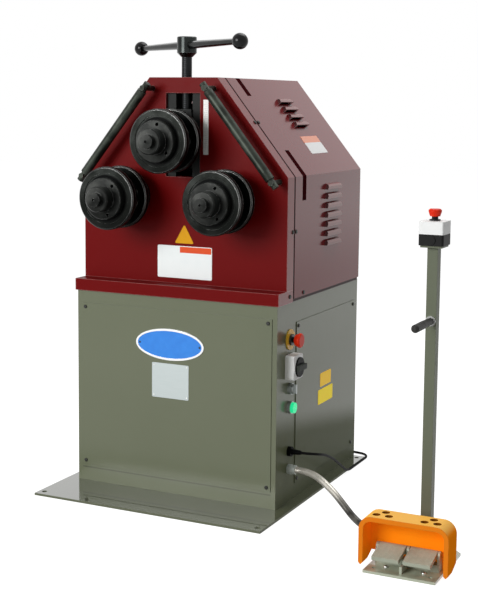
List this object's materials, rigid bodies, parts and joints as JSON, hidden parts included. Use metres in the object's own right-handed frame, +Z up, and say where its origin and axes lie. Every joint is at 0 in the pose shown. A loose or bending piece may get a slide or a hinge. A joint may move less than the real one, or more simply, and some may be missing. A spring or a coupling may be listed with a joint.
{
  "type": "angle roll bender",
  "caption": "Floor-standing angle roll bender: grooved rolls on a gabled head plate, a hand screw that lowers the top roll, a sheet-metal cabinet and a foot switch on its own pole stand.",
  "frame": {"origin": "centre of the floor plate's anchor pattern, on the floor", "axes": "+Z up, +X to the operator's right, -Y towards the operator"},
  "size_m": [1.172, 1.0666, 1.222],
  "materials": {
    "floor_paint": "satin",
    "cabinet_paint": "fine textured paint",
    "panel_paint": "fine textured paint",
    "zinc": "zinc plated",
    "head_red": "gloss paint",
    "cover_red": "gloss paint",
    "dark_steel": "oiled black oxide",
    "steel": "ground",
    "bronze": "turned",
    "gearbox_grey": "painted",
    "motor_grey": "painted",
    "roll_black": "black oxide",
    "handle_steel": "polished dark steel",
    "black_gloss": "gloss",
    "black_matte": "matte",
    "red_plastic": "gloss",
    "green_lens": "gloss",
    "pale_plastic": "satin",
    "cord_rubber": "matte",
    "conduit_grey": "satin",
    "stand_paint": "satin",
    "stand_grey": "satin",
    "guard_orange": "satin",
    "pedal_grey": "cast"
  },
  "bodies": {
    "frame": {"floor_plate": "floor_paint", "cabinet_shell": "cabinet_paint", "access_panels": "panel_paint", "panel_screws": "zinc", "head_base": "head_red", "front_plate": "head_red", "guide_rails": "dark_steel", "carriage_gibs": "dark_steel", "lead_nut": "bronze", "rear_bearing_plate": "steel", "tie_bars": "steel", "lower_bearings": "steel", "bearing_caps": "dark_steel", "rear_cover": "cover_red", "cover_screws": "dark_steel", "guide_bars": "dark_steel", "gearbox": "gearbox_grey", "drive_motor": "motor_grey", "switch_bezels": "zinc", "isolator_box": "pale_plastic", "mains_gland": "black_matte", "mains_cord": "cord_rubber", "mains_coil": "cord_rubber", "mains_plug": "black_matte", "conduit_fittings": "zinc", "conduit": "conduit_grey", "stand_base": "stand_grey", "stand_pole": "stand_paint", "stand_grip": "black_matte", "button_box": "black_matte", "button_box_lid": "pale_plastic", "pedal_guard": "guard_orange", "pedal_switch_body": "pedal_grey", "pedal_axle": "steel"},
    "carriage": {"carriage": "dark_steel", "carriage_bearings": "steel", "screw_keeper": "dark_steel"},
    "screw": {"adjusting_screw": "handle_steel", "handle_hub": "handle_steel", "handle_bar": "handle_steel", "ball_knobs": "black_gloss"},
    "top_roll_set": {"top_shaft": "dark_steel", "top_roll": "roll_black", "top_roll_nut": "dark_steel"},
    "left_roll_set": {"left_shaft": "dark_steel", "left_roll": "roll_black", "left_roll_nut": "dark_steel", "left_gear": "steel"},
    "right_roll_set": {"right_shaft": "dark_steel", "right_roll": "roll_black", "right_roll_nut": "dark_steel", "right_gear": "steel"},
    "pinion": {"drive_pinion": "steel"},
    "estop": {"estop_head": "red_plastic"},
    "isolator": {"isolator_knob": "black_matte"},
    "selector": {"selector_knob": "zinc"},
    "start": {"start_button": "green_lens"},
    "stand_estop": {"stand_estop_head": "red_plastic"},
    "left_pedal": {"pedal_left": "pedal_grey"},
    "right_pedal": {"pedal_right": "pedal_grey"}
  },
  "joints": [
    {"name": "carriage_slide", "type": "slide", "parent": "frame", "child": "carriage", "axis": [0, 0, 1], "range_m": [-0.045, 0.025]},
    {"name": "screw_turn", "type": "hinge", "parent": "carriage", "child": "screw", "pos_m": [0, -0.137, 1.15], "axis": [0, 0, 1], "range_deg": [-3240, 1800]},
    {"name": "top_roll_spin", "type": "hinge", "parent": "carriage", "child": "top_roll_set", "pos_m": [0, -0.251, 0.952], "axis": [0, -1, 0], "continuous": true},
    {"name": "left_roll_spin", "type": "hinge", "parent": "frame", "child": "left_roll_set", "pos_m": [-0.154, -0.251, 0.8], "axis": [0, -1, 0], "continuous": true},
    {"name": "right_roll_spin", "type": "hinge", "parent": "frame", "child": "right_roll_set", "pos_m": [0.154, -0.251, 0.8], "axis": [0, -1, 0], "continuous": true},
    {"name": "pinion_spin", "type": "hinge", "parent": "frame", "child": "pinion", "pos_m": [0, 0, 0.8], "axis": [0, -1, 0], "continuous": true},
    {"name": "estop_press", "type": "slide", "parent": "frame", "child": "estop", "axis": [-1, 0, 0], "range_m": [0, 0.006], "stiffness_N_per_m": 900, "springref_m": -0.002},
    {"name": "isolator_turn", "type": "hinge", "parent": "frame", "child": "isolator", "pos_m": [0.33, -0.122, 0.37], "axis": [1, 0, 0], "range_deg": [0, 90]},
    {"name": "selector_turn", "type": "hinge", "parent": "frame", "child": "selector", "pos_m": [0.31, -0.122, 0.31], "axis": [1, 0, 0], "range_deg": [-45, 45]},
    {"name": "start_press", "type": "slide", "parent": "frame", "child": "start", "axis": [-1, 0, 0], "range_m": [0, 0.004], "stiffness_N_per_m": 900, "springref_m": -0.002},
    {"name": "stand_estop_press", "type": "slide", "parent": "frame", "child": "stand_estop", "axis": [0, 0, -1], "range_m": [0, 0.006], "stiffness_N_per_m": 900, "springref_m": -0.002},
    {"name": "left_pedal_press", "type": "hinge", "parent": "frame", "child": "left_pedal", "pos_m": [0.695, -0.418, 0.042], "axis": [1, 0, 0], "range_deg": [0, 6], "stiffness_Nm_per_rad": 12, "springref_deg": -2.29},
    {"name": "right_pedal_press", "type": "hinge", "parent": "frame", "child": "right_pedal", "pos_m": [0.769, -0.418, 0.042], "axis": [1, 0, 0], "range_deg": [0, 6], "stiffness_Nm_per_rad": 12, "springref_deg": -2.29}
  ],
  "couplings": [
    {"joint": "carriage_slide", "follows": "screw_turn", "m_per_rad": 0.00079577},
    {"joint": "right_roll_spin", "follows": "left_roll_spin", "ratio": 1},
    {"joint": "pinion_spin", "follows": "left_roll_spin", "ratio": -2.6667}
  ]
}
